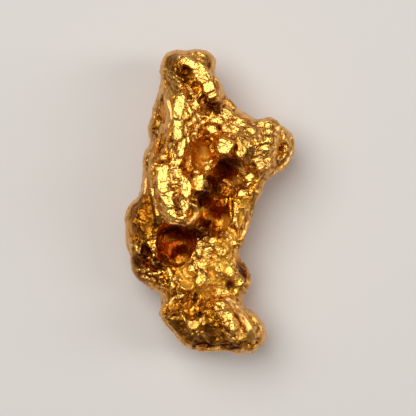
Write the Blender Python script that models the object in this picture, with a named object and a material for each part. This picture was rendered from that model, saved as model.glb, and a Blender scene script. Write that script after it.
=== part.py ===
"""A natural gold nugget, lying on the worn flats of its back, as one solid.

Its front looks up (+Z) and its narrow head points along +Y. The form is a cluster of rounded lumps grown
together: a head, a column that runs down from it into a hanging tongue, a knob and a lobe on the right, two
flanks, and a broad foot. Hollows are sunk between them, and small ledges, pits and ridges cover the rest.
"""

import math

import bmesh
import bpy
import numpy as np
from mathutils import Euler, Matrix, Vector, noise

# Driving dimensions. The nugget is shaped with one unit for each millimetre, because the skin that fuses
# its lumps can't be finer than a tenth of a unit, and it is brought to metres at the end.
MM = 0.001
BALL_ROUNDNESS = 4
ROUGH_SKIN = 0.30
FINE_SKIN = 0.15
MELT_ROUNDS = 5
STAND = 0.09
FACE_COUNT = 9400

# The small relief: broad swells and sharp little ledges all over, and facets that each lean their own way.
# The facets grow to their full rise between the two heights of CRUMPLED_FROM, on the front alone. Elsewhere
# the skin is worn, and they are faint.
FACET_SIZE = (0.95, 1.45, 1.2)
FACET_RISE = 0.62
SWELL_SIZE = 2.1
SWELL_RISE = 0.12
LEDGE_SIZE = 1.5
LEDGE_RISE = 0.10
CRUMPLED_FROM = (3.8, 5.8)
WORN_SHARE = 0.35

# Each lump is its centre (x, y, z), its half sizes (a, b, c), and its turn about Z in degrees.
HEAD = [
    ((-2.45, 10.55, 4.4), (1.55, 1.60, 2.3), 0),
    ((-0.90, 10.75, 4.2), (1.40, 1.45, 2.1), 0),
    ((-0.40, 11.00, 4.1), (0.95, 0.95, 1.8), 0),
    ((-1.90, 9.60, 4.3), (2.00, 1.90, 2.6), 0),
    ((-0.15, 9.00, 4.6), (1.20, 1.35, 2.3), 10),
    ((-2.85, 9.30, 4.0), (1.00, 1.50, 2.2), 0),
]
COLUMN = [
    ((-2.00, 8.10, 4.8), (1.60, 1.60, 2.5), 0),
    ((-2.00, 6.60, 4.9), (1.35, 1.60, 2.6), 0),
    ((-2.20, 5.00, 4.9), (1.35, 1.60, 2.6), 0),
    ((-2.50, 3.60, 4.9), (1.40, 1.40, 2.3), 0),
]
LEFT_FLANK = [
    ((-3.60, 7.30, 3.2), (1.00, 1.70, 1.8), -14),
    ((-3.50, 5.90, 3.2), (1.45, 1.50, 2.0), 0),
    ((-3.90, 3.30, 3.4), (1.45, 1.55, 2.1), 0),
    ((-4.10, 1.80, 3.4), (1.35, 1.35, 2.0), 0),
    ((-4.50, -1.50, 3.4), (2.25, 2.05, 2.5), 0),
    ((-4.50, -3.40, 3.2), (2.20, 2.00, 2.4), 0),
    ((-4.55, 0.40, 3.3), (1.15, 1.00, 2.0), 0),
    ((-4.30, -5.00, 3.0), (2.05, 1.85, 2.4), 0),
    ((-3.45, -6.00, 3.0), (1.65, 1.50, 2.2), 0),
]
TONGUE = [
    ((-3.20, 2.20, 5.4), (1.20, 1.80, 2.1), 8),
    ((-2.70, 0.60, 5.8), (1.50, 1.80, 2.2), 8),
    ((-2.20, -0.80, 6.0), (1.55, 1.30, 2.0), 20),
    ((-1.60, -0.85, 5.9), (0.75, 1.00, 1.2), 0),
    ((-0.75, 1.50, 5.4), (0.95, 1.20, 1.7), 0),
]
CROWN = [
    ((0.20, 6.60, 4.4), (1.70, 1.30, 2.3), 0),
    ((1.60, 6.60, 4.3), (1.50, 0.95, 2.2), 0),
    ((1.05, 7.35, 4.0), (1.05, 1.00, 1.8), 0),
    ((2.50, 6.20, 4.2), (1.20, 0.85, 2.0), 0),
]
KNOB = [
    ((1.90, 4.20, 5.8), (1.60, 1.35, 1.9), -20),
    ((1.20, 4.30, 6.4), (0.90, 0.90, 1.3), 0),
    ((3.00, 4.40, 5.2), (1.30, 1.50, 2.0), 0),
]
RIGHT_LOBE = [
    ((4.60, 5.50, 3.8), (1.20, 1.30, 2.3), 0),
    ((5.50, 4.50, 3.5), (1.30, 1.35, 2.1), 0),
    ((5.05, 3.35, 3.4), (1.25, 0.95, 2.0), 0),
    ((4.20, 3.00, 4.4), (1.10, 1.20, 2.1), 0),
    ((4.30, 4.60, 5.0), (0.90, 1.50, 1.9), 0),
]
RIGHT_FLANK = [
    ((3.20, 1.30, 3.6), (1.20, 1.35, 2.3), 0),
    ((2.50, -0.30, 3.6), (1.10, 1.30, 2.3), 0),
    ((2.30, -1.60, 3.6), (0.95, 1.30, 2.2), 0),
    ((1.80, -3.00, 3.5), (1.05, 1.20, 2.2), 0),
]
CORE = [
    ((0.20, 2.60, 2.9), (2.60, 2.80, 2.3), 0),
    ((-1.20, -1.50, 2.8), (3.00, 2.80, 2.2), 0),
    ((-0.80, -4.20, 3.2), (2.80, 2.20, 2.5), 0),
    ((0.60, -3.60, 4.0), (1.80, 1.80, 2.1), 0),
    ((0.40, 5.00, 3.6), (2.60, 1.80, 2.4), 0),
]
WAIST = [
    ((0.30, -5.60, 3.9), (2.40, 1.60, 2.4), 0),
    ((2.05, -6.10, 3.2), (1.35, 1.40, 2.0), 0),
    ((1.50, -7.20, 3.2), (1.30, 1.20, 2.0), 0),
    ((1.60, -8.10, 3.4), (1.05, 0.80, 2.0), 0),
    ((-1.80, -6.60, 3.6), (1.90, 1.40, 2.4), 0),
]
FOOT = [
    ((-2.60, -8.90, 3.4), (1.38, 1.45, 2.3), 0),
    ((-1.30, -10.20, 3.5), (1.60, 1.60, 2.4), 0),
    ((-0.30, -10.85, 3.4), (1.40, 1.15, 2.2), 0),
    ((0.30, -9.30, 4.0), (2.40, 2.00, 2.6), 0),
    ((0.60, -10.60, 3.7), (1.90, 1.40, 2.3), 0),
    ((2.60, -10.60, 3.6), (1.95, 1.55, 2.3), 0),
    ((2.70, -9.60, 3.4), (1.20, 1.10, 2.0), 0),
]
LUMPS = (
    HEAD + COLUMN + LEFT_FLANK + TONGUE + CROWN + KNOB + RIGHT_LOBE + RIGHT_FLANK + CORE + WAIST + FOOT
)

# Each hollow is its centre, its half sizes, and its lean about X and Y in degrees, which undercuts a lip.
HOLLOWS = [
    ((-1.90, 10.00, 7.0), (0.90, 0.60, 0.8), 0, 0),
    ((-0.50, 3.75, 6.6), (1.20, 1.45, 2.2), 0, 0),
    ((1.20, 2.10, 5.8), (1.35, 1.20, 2.9), -28, 0),
    ((-0.75, -0.10, 5.8), (0.60, 0.70, 2.2), 0, 0),
    ((0.50, -1.45, 5.9), (1.45, 1.25, 1.8), 0, 0),
    ((-2.70, -3.30, 5.2), (1.60, 1.60, 2.5), -32, 0),
    ((-1.75, -6.20, 6.2), (0.90, 0.80, 1.0), 0, 0),
    ((0.35, -5.80, 6.4), (0.80, 0.90, 0.8), 0, 0),
    ((0.20, 7.60, 6.5), (0.90, 0.45, 1.3), 20, 0),
    ((2.05, 4.05, 7.7), (0.60, 0.80, 0.9), 0, 0),
    ((1.60, -11.40, 5.3), (1.10, 0.35, 1.0), 0, 0),
    ((-0.80, -11.30, 5.2), (0.90, 0.30, 0.8), 0, 0),
]

# The back: broad lumps, some of them worn flat where they reach the resting plane, and shallow hollows.
BACK = [
    ((-2.20, 8.60, 2.6), (1.90, 3.10, 2.7), 8),
    ((-2.40, 4.40, 2.8), (2.20, 3.00, 2.5), 0),
    ((3.70, 4.30, 2.5), (2.40, 2.00, 2.7), 15),
    ((0.60, 4.00, 2.9), (3.20, 2.80, 2.4), 0),
    ((-0.80, 0.20, 2.9), (3.90, 3.40, 2.4), 20),
    ((-3.40, -2.80, 2.6), (2.90, 3.20, 2.8), 0),
    ((-0.60, -6.20, 2.9), (2.90, 2.40, 2.4), 0),
    ((0.90, -9.70, 2.5), (3.00, 1.90, 2.75), -10),
]
BACK_HOLLOWS = [
    ((0.90, 6.30, 0.6), (1.60, 1.20, 1.1), 0, 0),
    ((2.20, -1.20, 0.5), (1.50, 1.90, 1.3), 0, 0),
    ((-1.40, -6.60, 0.4), (1.70, 1.20, 1.2), 0, 0),
]

# Each ridge is its half width, how far it stands out, and the points (x, y) that its crest runs through.
RIDGES = [
    (0.36, 0.41, [(-2.15, 11.20), (-1.60, 10.80), (-0.95, 10.50), (-0.55, 10.00), (-0.15, 8.80)]),
    (0.50, 0.47, [(0.10, 8.50), (0.20, 8.20)]),
    (0.26, 0.27, [(-3.65, 10.50), (-3.20, 10.00), (-2.65, 9.45), (-1.90, 8.90)]),
    (0.42, 0.47, [(-2.30, 7.90), (-2.50, 7.20), (-2.40, 6.40), (-2.55, 5.60), (-2.65, 4.90)]),
    (0.36, 0.34, [(-3.70, 8.80), (-3.50, 7.75), (-3.30, 6.70), (-3.50, 5.75), (-3.90, 4.95)]),
    (0.30, 0.34, [(-2.00, 4.70), (-2.30, 4.00), (-2.50, 3.35)]),
    (0.45, 0.54, [(-3.70, 2.65), (-3.75, 1.75), (-3.50, 0.95), (-3.05, 0.30), (-2.70, -0.50)]),
    (0.42, 0.47, [(-2.55, 2.40), (-1.90, 1.50), (-1.85, 0.65), (-2.10, -0.25), (-2.25, -1.05)]),
    (0.36, 0.41, [(-3.80, -0.10), (-3.50, -0.70), (-2.90, -1.10), (-2.15, -1.20)]),
    (0.32, 0.27, [(-1.60, -0.25), (-1.15, -0.70), (-1.10, -1.30), (-1.60, -1.75), (-2.15, -1.95)]),
    (0.32, 0.34, [(-1.20, 2.10), (-0.60, 1.75), (-0.20, 1.10), (-0.30, 0.55)]),
    (0.28, 0.30, [(2.25, 5.20), (2.65, 4.55), (2.65, 3.75), (2.25, 3.10)]),
    (0.28, 0.30, [(2.90, 5.35), (3.20, 4.55), (3.05, 3.60)]),
    (0.40, 0.41, [(4.25, 6.05), (4.50, 5.50), (4.25, 4.55)]),
    (0.40, 0.41, [(4.50, 4.00), (4.25, 3.10), (3.70, 2.70)]),
    (0.32, 0.34, [(5.00, 6.20), (5.30, 5.60), (5.20, 4.55), (5.05, 3.50)]),
    (0.36, 0.27, [(6.00, 5.40), (6.20, 4.80), (6.15, 4.00), (5.75, 3.10), (5.30, 2.60)]),
    (0.26, 0.34, [(2.00, -0.15), (1.90, -0.90), (1.85, -1.45), (2.15, -1.90)]),
    (0.26, 0.34, [(-0.95, -1.90), (-0.30, -2.25), (0.00, -2.70), (0.10, -3.30)]),
    (0.28, 0.41, [(-0.70, -2.70), (-0.90, -3.45), (-0.80, -3.90)]),
    (0.38, 0.47, [(1.05, -9.20), (1.45, -9.70), (1.70, -10.25), (2.00, -10.80)]),
    (0.42, 0.34, [(1.50, -7.90), (2.25, -8.70), (2.85, -9.50), (3.05, -10.40), (2.10, -11.50)]),
    (0.20, 0.27, [(-2.10, -8.65), (-1.90, -9.50)]),
    (0.34, 0.41, [(-1.45, -9.45), (-1.05, -10.10)]),
    (0.36, 0.27, [(-3.35, -8.10), (-3.45, -8.80), (-3.00, -9.60), (-2.30, -10.50), (-1.45, -11.15)]),
    (0.32, 0.34, [(0.65, -8.00), (1.10, -7.85), (1.45, -8.25)]),
    (0.28, 0.34, [(2.10, -5.90), (2.50, -6.50)]),
]

# Each pit is its centre (x, y), its half width and its depth.
PITS = [
    ((-4.20, 7.15), 0.45, 0.45),
    ((-4.10, 6.25), 0.45, 0.50),
    ((-4.25, 5.45), 0.40, 0.45),
    ((5.70, 4.15), 0.35, 0.50),
    ((5.05, 2.85), 0.35, 0.45),
    ((3.75, -11.10), 0.35, 0.40),
    ((-2.40, 0.00), 0.35, 0.55),
    ((-3.60, -2.60), 0.50, 0.40),
    ((-5.20, -3.90), 0.45, 0.40),
    ((-4.70, -4.70), 0.50, 0.45),
]


def clear_scene():
    for obj in list(bpy.data.objects):
        bpy.data.objects.remove(obj, do_unlink=True)


def balls(name, places):
    """One object that holds a closed ball for each place, stretched and turned by its matrix."""
    shape = bmesh.new()
    for place in places:
        bmesh.ops.create_icosphere(shape, subdivisions=BALL_ROUNDNESS, radius=1, matrix=place)
    mesh = bpy.data.meshes.new(name)
    shape.to_mesh(mesh)
    shape.free()
    obj = bpy.data.objects.new(name, mesh)
    bpy.context.scene.collection.objects.link(obj)
    return obj


def lump_place(centre, half_sizes, turn):
    return Matrix.LocRotScale(Vector(centre), Euler((0, 0, math.radians(turn))), Vector(half_sizes))


def hollow_place(centre, half_sizes, lean_x, lean_y):
    lean = Euler((math.radians(lean_x), math.radians(lean_y), 0))
    return Matrix.LocRotScale(Vector(centre), lean, Vector(half_sizes))


def settle(obj):
    """Takes the object's modifiers into its mesh."""
    bpy.context.view_layer.update()
    graph = bpy.context.evaluated_depsgraph_get()
    obj.data = bpy.data.meshes.new_from_object(obj.evaluated_get(graph))
    obj.modifiers.clear()


def fuse(obj, skin):
    """Makes one skin round all of the object's balls, in faces of the given size."""
    remesh = obj.modifiers.new("Fuse", "REMESH")
    remesh.mode = "VOXEL"
    remesh.voxel_size = skin
    settle(obj)


def carve(obj, cutter):
    cut = obj.modifiers.new("Hollows", "BOOLEAN")
    cut.operation = "DIFFERENCE"
    cut.solver = "EXACT"
    cut.object = cutter
    settle(obj)
    bpy.data.objects.remove(cutter, do_unlink=True)


def melt(obj):
    """Rounds the creases and rims as running water does."""
    smooth = obj.modifiers.new("Melt", "SMOOTH")
    smooth.factor = 0.5
    smooth.iterations = MELT_ROUNDS
    settle(obj)


def along_line(points, crest):
    """How far each point (x, y) is from the line through the crest's points."""
    nearest = np.full(len(points), np.inf)
    for start, end in zip(np.array(crest[:-1]), np.array(crest[1:])):
        step = end - start
        share = np.clip((points - start) @ step / (step @ step), 0, 1)
        away = np.linalg.norm(points - start - share[:, None] * step, axis=1)
        nearest = np.minimum(nearest, away)
    return nearest


def front_rise(points):
    """How far the ridges lift the front, less how deep the pits sink it, at each point (x, y)."""
    ridges = np.zeros(len(points))
    for half_width, stand, crest in RIDGES:
        away = along_line(points, crest) / half_width
        ridges = np.maximum(ridges, stand * np.exp(-(away ** 2)))
    pits = np.zeros(len(points))
    for centre, half_width, depth in PITS:
        away = np.linalg.norm(points - np.array(centre), axis=1) / half_width
        pits = np.maximum(pits, depth * np.exp(-(away ** 2)))
    return ridges - pits


def facet_rise(point):
    """Each small cell of the skin leans its own way, as crumpled metal does."""
    place = Vector(along / size for along, size in zip(point, FACET_SIZE))
    centre = noise.voronoi(place)[1][0]
    lean = noise.cell_vector(centre * 9.7) - Vector((0.5, 0.5, 0.5))
    return FACET_RISE * lean.dot(place - centre)


def swell_rise(point):
    """Broad swells, and the sharp ledges between them."""
    swells = noise.fractal(point / SWELL_SIZE, 0.7, 2.0, 2, noise_basis="PERLIN_NEW")
    ledges = noise.ridged_multi_fractal(point / LEDGE_SIZE + Vector((7, 3, 5)), 0.8, 2.1, 3, 0.9, 1.6)
    return SWELL_RISE * swells + LEDGE_RISE * (ledges - 1.2)


def share_between(values, low, high):
    """How far each value is on its way from low to high, from 0 to 1."""
    return np.clip((values - low) / (high - low), 0, 1)


def roughen(obj):
    """Raises the ridges, sinks the pits and crumples the skin, all along the surface's own normal."""
    mesh = obj.data
    points = np.empty(len(mesh.vertices) * 3)
    mesh.vertices.foreach_get("co", points)
    points = points.reshape(-1, 3)
    normals = np.empty(len(mesh.vertices) * 3)
    mesh.vertex_normals.foreach_get("vector", normals)
    normals = normals.reshape(-1, 3)
    facing = share_between(normals[:, 2], 0, 0.5)
    crumpled = WORN_SHARE + (1 - WORN_SHARE) * facing * share_between(points[:, 2], *CRUMPLED_FROM)
    facets = np.array([facet_rise(Vector(point)) for point in points])
    swells = np.array([swell_rise(Vector(point)) for point in points])
    rise = STAND + swells + crumpled * facets + facing * front_rise(points[:, :2])
    mesh.vertices.foreach_set("co", (points + normals * rise[:, None]).ravel())
    mesh.update()


def wear_flats(obj):
    """Cuts the lowest lumps off in one plane, z = 0, on which the nugget lies."""
    shape = bmesh.new()
    shape.from_mesh(obj.data)
    everything = shape.verts[:] + shape.edges[:] + shape.faces[:]
    cut = bmesh.ops.bisect_plane(
        shape, geom=everything, plane_co=(0, 0, 0), plane_no=(0, 0, -1), clear_outer=True
    )
    rims = [item for item in cut["geom_cut"] if isinstance(item, bmesh.types.BMEdge)]
    bmesh.ops.holes_fill(shape, edges=rims)
    bmesh.ops.triangulate(shape, faces=shape.faces[:])
    shape.to_mesh(obj.data)
    shape.free()


def thin_out(obj):
    """Keeps only the faces that the shape needs."""
    decimate = obj.modifiers.new("Thin out", "DECIMATE")
    decimate.use_collapse_triangulate = True
    decimate.ratio = FACE_COUNT / sum(len(face.vertices) - 2 for face in obj.data.polygons)
    settle(obj)


def settle_on_base(obj):
    """Puts the middle of the nugget's length and width over the origin."""
    corners = [Vector(corner) for corner in obj.bound_box]
    middle = sum(corners, Vector()) / len(corners)
    obj.data.transform(Matrix.Translation((-middle.x, -middle.y, 0)))


def gold():
    material = bpy.data.materials.new("native gold")
    material.use_nodes = True
    shader = material.node_tree.nodes["Principled BSDF"]
    shader.inputs["Base Color"].default_value = (0.80, 0.47, 0.10, 1)
    shader.inputs["Metallic"].default_value = 1.0
    shader.inputs["Roughness"].default_value = 0.3
    material.diffuse_color = shader.inputs["Base Color"].default_value
    return material


def build():
    clear_scene()
    nugget = balls("nugget", [lump_place(*lump) for lump in LUMPS + BACK])
    fuse(nugget, ROUGH_SKIN)
    hollows = balls("hollows", [hollow_place(*hollow) for hollow in HOLLOWS + BACK_HOLLOWS])
    fuse(hollows, ROUGH_SKIN)
    carve(nugget, hollows)
    fuse(nugget, FINE_SKIN)
    melt(nugget)
    roughen(nugget)
    fuse(nugget, FINE_SKIN)
    thin_out(nugget)
    wear_flats(nugget)
    settle_on_base(nugget)
    nugget.data.transform(Matrix.Scale(MM, 4))
    nugget.data.materials.append(gold())
    nugget.data.shade_smooth()


build()
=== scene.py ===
import math

import bpy
import numpy as np
from mathutils import Matrix, Vector, noise


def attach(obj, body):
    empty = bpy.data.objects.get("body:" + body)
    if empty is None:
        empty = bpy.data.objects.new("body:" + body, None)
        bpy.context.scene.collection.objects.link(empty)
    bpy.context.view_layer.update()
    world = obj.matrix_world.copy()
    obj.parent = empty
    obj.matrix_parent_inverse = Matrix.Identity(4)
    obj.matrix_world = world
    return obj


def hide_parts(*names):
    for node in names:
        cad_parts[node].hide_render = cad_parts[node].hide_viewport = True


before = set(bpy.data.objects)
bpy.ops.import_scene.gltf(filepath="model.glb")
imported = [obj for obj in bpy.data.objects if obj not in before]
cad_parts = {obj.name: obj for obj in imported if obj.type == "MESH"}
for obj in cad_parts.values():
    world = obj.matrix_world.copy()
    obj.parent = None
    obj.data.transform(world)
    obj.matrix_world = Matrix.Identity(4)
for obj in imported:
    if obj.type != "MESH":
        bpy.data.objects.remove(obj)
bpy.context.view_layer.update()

bpy.ops.object.select_all(action="DESELECT")

# ---- The nugget ----------------------------------------------------------------------------------------
# One lump of native gold, grown in a crack in rock and then tumbled in a stream bed, where stones rubbed
# its rim and high places smooth and left crystal faces, pits and iron stain between them. The solid gives
# its lumps and hollows, and its skin is refined here.

# It is shaped at one unit to the millimetre, because a remesh can't be finer than a tenth of a unit. Sizes
# in this section are in millimetres, with x to the right, y up and z to the front. A turn is in degrees,
# anticlockwise, and a share runs from 0 to 1.
MM = 0.001
# The coarser grid rounds off the solid's flat faces, and the finer one gives just under 200,000 triangles.
SMOOTH_SKIN = 0.16
FINE_SKIN = 0.106


def apply_modifier(piece, kind, **settings):
    """Adds a modifier with its settings and takes it into the piece's mesh."""
    bpy.context.view_layer.objects.active = piece
    bpy.ops.object.modifier_add(type=kind)
    modifier = piece.modifiers[-1]
    for name, value in settings.items():
        setattr(modifier, name, value)
    bpy.ops.object.modifier_apply(modifier=modifier.name)


def smooth_skin(piece, times):
    """Moves each point of a piece halfway to the middle of its neighbours, a number of times."""
    apply_modifier(piece, "SMOOTH", factor=0.5, iterations=times)


nugget = bpy.data.objects.new("gold_nugget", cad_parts["nugget"].data.copy())
bpy.context.scene.collection.objects.link(nugget)
nugget.data.materials.clear()
nugget.data.transform(Matrix.Scale(1 / MM, 4))
nugget.select_set(True)
bpy.context.view_layer.objects.active = nugget
bpy.ops.object.mode_set(mode="EDIT")
bpy.ops.mesh.select_all(action="SELECT")
bpy.ops.mesh.remove_doubles(threshold=0.0001)
bpy.ops.object.mode_set(mode="OBJECT")
apply_modifier(nugget, "REMESH", mode="VOXEL", voxel_size=SMOOTH_SKIN)
smooth_skin(nugget, times=6)
apply_modifier(nugget, "REMESH", mode="VOXEL", voxel_size=FINE_SKIN)
smooth_skin(nugget, times=3)


def vectors(collection, attribute):
    """A mesh's points or normals as an array with one row each."""
    values = np.empty(len(collection) * 3)
    collection.foreach_get(attribute, values)
    return values.reshape(-1, 3)


def evened(piece, times):
    """The points and normals that a piece would have if its skin were smoothed a number of times."""
    even = piece.copy()
    even.data = piece.data.copy()
    bpy.context.scene.collection.objects.link(even)
    smooth_skin(even, times)
    even_points = vectors(even.data.vertices, "co")
    even_normals = vectors(even.data.vertex_normals, "vector")
    bpy.data.objects.remove(even, do_unlink=True)
    return even_points, even_normals


def share_between(values, low, high):
    """How far each value is on its way from low to high, from 0 to 1, eased at both ends."""
    share = np.clip((values - low) / (high - low), 0, 1)
    return share * share * (3 - 2 * share)


def on_oval(points, centre, half_sizes, turn):
    """Where each point (x, y) is on a turned oval's two axes, as shares of its half sizes."""
    angle = math.radians(turn)
    across = np.array([math.cos(angle), math.sin(angle)])
    along = np.array([-math.sin(angle), math.cos(angle)])
    offset = points - np.array(centre)
    return offset @ across / half_sizes[0], offset @ along / half_sizes[1]


def away_from_oval(points, centre, half_sizes, turn):
    """How far each point (x, y) is from an oval's centre: 1 on its edge."""
    across, along = on_oval(points, centre, half_sizes, turn)
    return np.hypot(across, along)


points = vectors(nugget.data.vertices, "co")
normals = vectors(nugget.data.vertex_normals, "vector")
broad_normals = evened(nugget, times=24)[1]

# Small moves of the outline: the middle of the place, how far around it they reach, and the move (x, y).
pulls = [
    ((1.20, 3.92), 0.64, (-0.08, -0.48)),
    ((-1.52, 4.16), 0.48, (0.16, 0.00)),
    ((0.56, 10.16), 0.48, (-0.16, -0.08)),
    ((1.04, 9.28), 0.40, (0.10, 0.00)),
    ((1.24, 8.64), 0.32, (-0.16, -0.08)),
    ((1.68, 8.32), 0.48, (0.11, 0.11)),
    ((2.80, 7.36), 0.72, (-0.08, -0.08)),
    ((6.80, 4.96), 0.96, (0.13, 0.00)),
    ((4.24, -9.28), 0.96, (0.14, 0.05)),
    ((-4.88, 5.76), 1.12, (-0.11, 0.00)),
    ((-6.88, -2.40), 1.12, (-0.10, 0.00)),
    ((-4.08, 9.92), 1.12, (0.11, 0.00)),
    ((-4.72, -6.96), 0.64, (0.06, 0.06)),
    ((-3.68, -9.84), 0.64, (0.11, 0.06)),
    ((-2.72, -11.12), 0.64, (0.10, 0.08)),
    ((-0.80, -12.00), 0.72, (0.00, -0.11)),
    ((3.20, -6.72), 0.48, (0.16, -0.06)),
    ((2.88, -5.12), 0.48, (-0.11, 0.00)),
    ((4.48, 2.40), 0.56, (0.08, -0.08)),
    ((-6.24, 0.16), 0.96, (-0.08, 0.05)),
    ((3.28, -1.12), 1.12, (0.06, 0.00)),
]
for centre, reach, pull in pulls:
    share = np.exp(-np.sum((points[:, :2] - centre) ** 2, axis=1) / reach ** 2)
    points[:, :2] += share[:, None] * np.array(pull)

# Hollows that are raised so that light reaches them: centre, half sizes, turn, height.
fills = [
    ((2.24, 4.32), (0.40, 0.64), 0, 0.85),
    ((0.24, 8.24), (0.48, 0.56), 20, 0.40),
    ((0.72, 4.08), (0.48, 0.64), 0, 0.50),
    ((-2.32, -4.32), (0.88, 0.72), 0, 1.00),
    ((-0.48, 0.48), (0.48, 0.72), 0, 0.40),
]
for centre, half_sizes, turn, height in fills:
    share = np.exp(-away_from_oval(points[:, :2], centre, half_sizes, turn) ** 2)
    points[:, 2] += height * share * share_between(broad_normals[:, 2], -0.1, 0.3)

# What is laid on the skin below wanders by about a tenth of a millimetre, so that no edge is ruled. The
# bends are 0.7 and 0.25 long. Without a seed this noise starts from the clock and differs each run.
WANDER = 0.11
WANDER_SEED = 1
noise.seed_set(WANDER_SEED)
bend = np.array([noise.noise_vector(Vector(point) / 0.7) for point in points])
bend += 0.35 * np.array([noise.noise_vector(Vector(point) / 0.25) for point in points])
true_plan = points[:, :2]
plan = true_plan + WANDER * bend[:, :2]

# How far the skin faces the front: 1 on the open front, and with upward also 1 on the front's steep walls.
facing = share_between(normals[:, 2], 0.05, 0.55)
upward = share_between(normals[:, 2], -0.15, 0.25)

# The nugget's edge as the front shows it, clockwise from the top of the head.
outline = [
    (-2.70, 12.15), (-2.10, 12.10), (-1.20, 12.20), (-0.55, 12.10), (0.10, 11.75), (0.50, 11.20),
    (0.50, 10.55), (0.30, 10.10), (0.70, 9.75), (1.00, 9.20), (1.05, 8.55), (1.50, 8.40), (1.85, 8.00),
    (2.40, 7.35), (3.10, 6.90), (3.45, 6.55), (3.90, 6.70), (4.50, 6.80), (5.00, 6.70), (5.50, 6.15),
    (5.75, 5.85), (6.15, 5.75), (6.55, 5.35), (6.80, 4.80), (6.80, 4.15), (6.55, 3.50), (6.10, 2.90),
    (5.35, 2.25), (4.80, 1.85), (4.40, 1.35), (4.15, 0.70), (3.75, -0.10), (3.45, -0.65),
    (3.45, -1.10), (3.20, -1.70), (3.05, -2.25), (2.80, -3.05), (2.55, -3.75), (2.30, -4.15),
    (2.55, -4.70), (2.95, -5.35), (3.30, -6.10), (3.35, -6.55), (3.20, -6.95), (2.95, -7.05),
    (2.70, -7.70), (2.50, -8.30), (2.90, -8.30), (3.20, -8.65), (3.60, -8.90), (4.10, -9.35),
    (4.50, -10.00), (4.55, -10.65), (4.30, -11.30), (3.85, -11.75), (3.20, -12.10), (2.65, -12.15),
    (2.00, -12.00), (1.20, -11.95), (0.55, -11.90), (0.00, -12.00), (-0.55, -12.10), (-1.05, -11.90),
    (-1.60, -11.70), (-2.25, -11.35), (-2.65, -10.90), (-3.20, -10.15), (-3.75, -9.50), (-4.00, -9.05),
    (-4.10, -8.55), (-3.90, -8.10), (-3.75, -7.60), (-4.25, -7.20), (-4.80, -6.80), (-5.50, -6.25),
    (-5.90, -5.75), (-6.30, -5.10), (-6.50, -4.50), (-6.55, -3.85), (-6.70, -3.05), (-6.90, -2.25),
    (-6.90, -1.60), (-6.70, -0.70), (-6.50, -0.15), (-6.00, 0.25), (-5.70, 0.70), (-5.45, 1.30),
    (-5.45, 2.00), (-5.45, 2.95), (-5.45, 3.60), (-5.20, 4.15), (-4.90, 4.70), (-4.95, 5.20),
    (-4.95, 5.90), (-4.80, 6.80), (-4.55, 7.50), (-4.25, 8.40), (-3.90, 8.90), (-4.00, 9.45),
    (-4.00, 10.10), (-3.90, 10.55), (-3.90, 11.10), (-3.70, 11.60), (-3.20, 11.90), (-2.70, 12.15),
]
# Where stones rubbed the skin smooth: half width of the band, and its line.
worn_bands = [
    (0.26, [
        (-3.60, 9.44), (-3.60, 8.56), (-3.36, 7.84), (-3.20, 7.04), (-3.20, 6.24), (-4.00, 5.44),
        (-4.64, 4.80), (-4.80, 4.00), (-4.80, 2.96), (-4.88, 1.92), (-5.20, 0.96),
    ]),
    (0.24, [(0.64, 9.92), (1.04, 8.96), (1.04, 8.16), (0.72, 7.52)]),
    (0.24, [(1.92, 7.36), (2.72, 6.80), (3.36, 6.40), (3.68, 5.76), (3.76, 4.96)]),
    (0.27, [(5.12, 6.88), (5.36, 6.00), (5.28, 5.12), (5.04, 4.16), (5.12, 3.36), (4.72, 2.40)]),
    (0.24, [(4.32, 2.08), (3.84, 1.28), (3.60, 0.32), (3.44, -0.80)]),
    (0.24, [(3.12, -2.08), (2.80, -3.04), (2.32, -4.00)]),
    (0.29, [
        (1.28, -7.52), (2.16, -8.24), (2.80, -9.12), (3.20, -10.08), (3.60, -11.04), (4.16, -10.24),
        (4.16, -9.28), (3.60, -8.80),
    ]),
    (0.24, [
        (-4.00, -8.64), (-3.36, -9.76), (-2.64, -10.72), (-1.92, -11.52), (-0.40, -11.76), (1.60, -11.84),
        (3.20, -11.84),
    ]),
    (0.24, [(3.20, -5.28), (3.28, -6.24), (2.88, -6.88)]),
    (0.18, [(-1.12, -0.24), (-0.88, -0.72), (-1.20, -1.36), (-1.92, -2.00)]),
    (0.27, [(5.76, 5.68), (6.32, 5.04), (6.56, 4.24), (6.24, 3.44), (5.52, 2.72), (4.80, 2.16)]),
    (0.21, [(3.12, -0.48), (2.88, -1.60), (2.88, -2.40)]),
    (0.24, [(-3.84, -7.52), (-3.20, -7.84)]),
]
# The edge is rubbed too. Its rim fades out between these distances from the edge, and its pale colour there
# is partly painted rim light.
RIM = (0.22, 0.42)


def nearest_on_line(points, line):
    """The nearest place to each point (x, y) on a line, how far it is away, and how far along the line."""
    nearest = np.full((len(points), 2), np.inf)
    shortest = np.full(len(points), np.inf)
    along = np.zeros(len(points))
    for index, (start, end) in enumerate(zip(np.array(line[:-1]), np.array(line[1:]))):
        step = end - start
        share = np.clip((points - start) @ step / (step @ step), 0, 1)
        place = start + share[:, None] * step
        away = np.linalg.norm(points - place, axis=1)
        closer = away < shortest
        nearest[closer] = place[closer]
        along[closer] = index + share[closer]
        shortest = np.minimum(shortest, away)
    return nearest, shortest, along


def away_from_line(points, line):
    """How far each point (x, y) is from a line."""
    return nearest_on_line(points, line)[1]


from_edge = away_from_line(plan, outline)
rim = (1 - share_between(from_edge, *RIM)) * (1 - share_between(-normals[:, 2], -0.28, 0.2))
# The back is rubbed in patches of about 1.7, and left as it grew between them.
rubbed = np.array([noise.noise(Vector(point) / 1.7) for point in points])
smooth_back = (1 - facing) * share_between(rubbed, -0.15, 0.3)
worn = np.maximum(rim, 0.35 * smooth_back)
for half_width, line in worn_bands:
    band = 1 - share_between(away_from_line(plan, line) / half_width, 0.6, 1.3)
    worn = np.maximum(worn, band * upward)

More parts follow.
